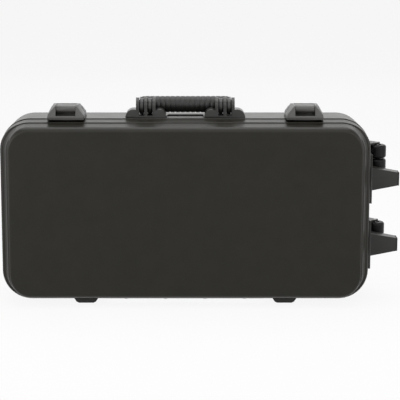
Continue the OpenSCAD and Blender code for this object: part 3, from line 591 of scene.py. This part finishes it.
def add_pivot_sleeves(side, mat):
    """Rubber sleeves on a pivot, which fill the gaps between the ears and the frame's prongs"""
    ears = sorted({round(v.co.x, 4) for v in nodes[side + "_handle_bracket"].data.vertices
                   if v.co.z > GRIP_Z - 2 * MM})
    low, high = (Vector(c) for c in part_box(side + "_handle_pin"))
    pin = (low + high) / 2
    bm = bmesh.new()
    for start, end in ((ears[1], ears[2]), (ears[3], ears[4])):
        verts = bmesh.ops.create_cone(bm, cap_ends=True, segments=48, radius1=PIVOT_R, radius2=PIVOT_R,
                                      depth=end - start - 0.1 * MM)["verts"]
        bmesh.ops.rotate(bm, verts=verts, cent=(0, 0, 0), matrix=Matrix.Rotation(math.pi / 2, 3, "Y"))
        bmesh.ops.translate(bm, verts=verts, vec=((start + end) / 2, pin.y, pin.z))
    add_piece(side + "_pivot_sleeves", bm, "handle", mat)


# ---------- latches ----------

LATCH_FOOT = TOP_Z + 2 * MM
LATCH_HEIGHT = 0.92


def lower_latch(bm):
    """Draws a latch's upper part down to a share of its height"""
    for vert in bm.verts:
        if vert.co.z > LATCH_FOOT:
            vert.co.z = LATCH_FOOT + (vert.co.z - LATCH_FOOT) * LATCH_HEIGHT


# ---------- linings ----------

BUMPS_ACROSS, BUMPS_UP = 20, 9
BUMP_CUTS = 6
BUMP_HEIGHT = 4.5 * MM
BUMP_MARGIN = 20 * MM
FLAT_RIM = 12 * MM
RIM_FADE = 10 * MM


def add_lid_foam(mat):
    """Lid lining with a field of rounded bumps, flat along its rim"""
    bm = merged_copy("lid_foam_pad")
    low, high = (Vector(c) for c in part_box("lid_foam_pad"))
    pitch_x = (high.x - low.x - 2 * BUMP_MARGIN) / BUMPS_ACROSS
    pitch_z = (high.z - low.z - 2 * BUMP_MARGIN) / BUMPS_UP
    for axis, start, end, pitch in (((1, 0, 0), low.x, high.x, pitch_x),
                                    ((0, 0, 1), low.z, high.z, pitch_z)):
        cut = start + BUMP_MARGIN - pitch / 2
        while cut < end - 8 * MM:
            front = [f for f in bm.faces
                     if f.normal.y > 0.99 and f.calc_center_median().y > high.y - 1 * MM]
            cut_faces(bm, front, Vector(axis) * cut, axis, 0.01 * MM)
            cut += pitch / BUMP_CUTS
    for vert in bm.verts:
        x, _, z = vert.co
        if vert.co.y > high.y - 0.5 * MM:
            edge = min(x - low.x, high.x - x, z - low.z, high.z - z)
            fade = max(0.0, min(1.0, (edge - FLAT_RIM) / RIM_FADE))
            wave = (math.cos(2 * math.pi * (x - low.x - BUMP_MARGIN) / pitch_x)
                    * math.cos(2 * math.pi * (z - low.z - BUMP_MARGIN) / pitch_z))
            vert.co.y -= fade * BUMP_HEIGHT * (1 - wave)
    pad = add_piece("lid_bump_foam", bm, "lid", mat, ("lid_foam_pad",), 70)


def add_pad(node, name, mat, width):
    pad = eased_node(node, mat, width, segments=4, angle=40, name=name)


def add_pile(mat):
    """The board's loop pile, a thin closed layer that lies flat on the board"""
    pile = eased_node("loop_pile", mat, 0.5, name="pile_cloth")


# ---------- small hardware ----------

SPRING_WIRE_R = 0.5 * MM
SPRING_TURNS = 9
STEPS_PER_TURN = 14
# Sizes of the cross slot in a screw's head, as shares of the head's radius
CROSS_REACH = 0.7
CROSS_HALF_WIDTH = 0.17
CROSS_DEPTH = 0.32


def add_spring(side, mat):
    """Coiled return spring round a trigger's pin"""
    node = side + "_trigger_spring"
    low, high = (Vector(c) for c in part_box(node))
    mid = (low + high) / 2
    ring = (high.z - low.z) / 2 - SPRING_WIRE_R
    steps = SPRING_TURNS * STEPS_PER_TURN
    step_along = (high.x - low.x - 2 * SPRING_WIRE_R) / steps
    bm = bmesh.new()
    verts = bmesh.ops.create_circle(bm, cap_ends=True, radius=SPRING_WIRE_R, segments=8)["verts"]
    bmesh.ops.rotate(bm, verts=verts, cent=(0, 0, 0), matrix=Matrix.Rotation(math.pi / 2, 3, "X"))
    bmesh.ops.translate(bm, verts=verts, vec=(low.x + SPRING_WIRE_R, mid.y, mid.z + ring))
    bmesh.ops.spin(bm, geom=bm.faces[:] + bm.edges[:] + bm.verts[:], cent=(0, mid.y, mid.z),
                   axis=(1, 0, 0), dvec=(step_along, 0, 0), angle=2 * math.pi * SPRING_TURNS,
                   steps=steps, use_duplicate=False)
    bmesh.ops.recalc_face_normals(bm, faces=bm.faces)
    add_piece(side + "_return_spring", bm, body_of[node], mat, (node,), 50)


def cut_cross(bm, disc):
    """Sinks a cross slot into the flat end of a screw's head"""
    centre, normal = disc.calc_center_median(), disc.normal.copy()
    radius = math.sqrt(disc.calc_area() / math.pi)
    across = normal.orthogonal().normalized()
    over = normal.cross(across)
    half = CROSS_HALF_WIDTH * radius
    bmesh.ops.inset_region(bm, faces=[disc], thickness=(1 - CROSS_REACH) * radius)

    def inside():
        """The faces within the inset circle, with a little slack for its corners"""
        return [f for f in bm.faces if f.normal.dot(normal) > 0.99
                and (f.calc_center_median() - centre).length < (CROSS_REACH - 0.01) * radius
                and max((v.co - centre).length for v in f.verts) < (CROSS_REACH + 0.06) * radius]

    for way in (across, over):
        for side in (-half, half):
            cut_faces(bm, inside(), centre + way * side, way)
    slot = []
    for face in inside():
        arm = face.calc_center_median() - centre
        if min(abs(arm.dot(across)), abs(arm.dot(over))) < half:
            slot.append(face)
    sink_faces(bm, slot, normal * -CROSS_DEPTH * radius)


def add_screws(node, mat):
    """A fitting's screws, with a cross slot in each head; the heads' ends are the widest round faces"""
    bm = merged_copy(node)
    round_faces = [f for f in bm.faces if len(f.verts) > 8]
    widest = max(f.calc_area() for f in round_faces)
    for disc in [f for f in round_faces if f.calc_area() > 0.93 * widest]:
        cut_cross(bm, disc)
    add_piece(node + "_cross_heads", bm, body_of[node], mat, (node,), smooth_angle=35)


# ---------- the case ----------

add_camera()
add_world()
add_floor()
for panel in PANELS:
    add_panel(*panel)

shell_finish = moulded("pebbled_shell", (0.0097, 0.0088, 0.0055), 0.36, 0.04, 1.3, 0.27)
trim_finish = moulded("moulded_trim", (0.012, 0.0115, 0.0102), 0.34, 0.02, 0.7, 0.5)
latch_finish = moulded("latch_plastic", (0.043, 0.0415, 0.0385), 0.36, 0.02, 0.7, 0.6)
stand_finish = moulded("stand_plastic", (0.012, 0.0115, 0.0102), 0.38, 0.02, 0.7, 0.32)
grip_finish = moulded("rubber_grip", (0.011, 0.0115, 0.0102), 0.42, 0.03, 0.5, 0.42)
foam_finish = open_foam()
board_finish = birch_ply()
pile_finish = looped_cloth()
steel_finish = turned_steel("satin_steel", (0.5, 0.5, 0.51), 0.32)
black_steel = turned_steel("blackened_steel", (0.02, 0.02, 0.021), 0.4)
tyre_finish = moulded("tyre_rubber", (0.005, 0.005, 0.0048), 0.36, 0.02, 0.4, 0.14)
pad_finish = moulded("pad_rubber", (0.015, 0.015, 0.015), 0.6, 0.04, 0.5, 0.3)

by_slot = {
    "shell": shell_finish, "trim": trim_finish, "grip": grip_finish, "foam": foam_finish,
    "board": board_finish, "pile": pile_finish, "steel": steel_finish, "tyre": tyre_finish,
    "pad": pad_finish, "seal": pad_finish,
}
for part in frame["record"]["subparts"]:
    dress(part["node"], by_slot[part["material_slot"]])

smooth_node("base_shell", shell_finish, shape=sink_hand_recess)
smooth_node("lid_shell", shell_finish, shape=lower_rim)

add_grip(grip_finish)
eased_node("handle_frame", trim_finish, 0.6, shape=slim_yokes)
for side in SIDES:
    eased_node(side + "_handle_bracket", trim_finish, 0.8, segments=3)
    eased_node(side + "_latch_cover", latch_finish, 0.9, segments=3, angle=14, shape=lower_latch)
    eased_node(side + "_latch_plate", trim_finish, 0.4)
    eased_node(side + "_trigger", latch_finish, 0.4, shape=lower_latch)
    add_spring(side, steel_finish)
for level in LEVELS:
    eased_node(level + "_stand_foot", stand_finish, 0.8, segments=3)
    eased_node(level + "_wheel_fork", stand_finish, 0.5)
    for place in ("top", "low"):
        eased_node("%s_%s_hub" % (level, place), stand_finish, 0.4)
        smooth_node("%s_%s_tyre" % (level, place), tyre_finish, 40)
eased_node("base_feet", stand_finish, 0.6, segments=3)
eased_node("lid_feet", stand_finish, 0.6, segments=3)
eased_node("stand_pads", pad_finish, 0.6)

for side in SIDES:
    add_pivot_sleeves(side, tyre_finish)
for side in SIDES:
    dress(side + "_handle_pin", black_steel)
    eased_node(side + "_strike", black_steel, 0.4)
add_lid_foam(foam_finish)
add_pad("back_foam_pad", "back_lining", foam_finish, 2.0)
add_pad("side_foam_ring", "wall_lining", foam_finish, 1.5)
eased_node("pedal_board", board_finish, 0.6, name="ply_board")
add_pile(pile_finish)
for fitting in ("latch", "handle", "fork", "stand", "base_hinge", "lid_hinge"):
    add_screws(fitting + "_screws", steel_finish)
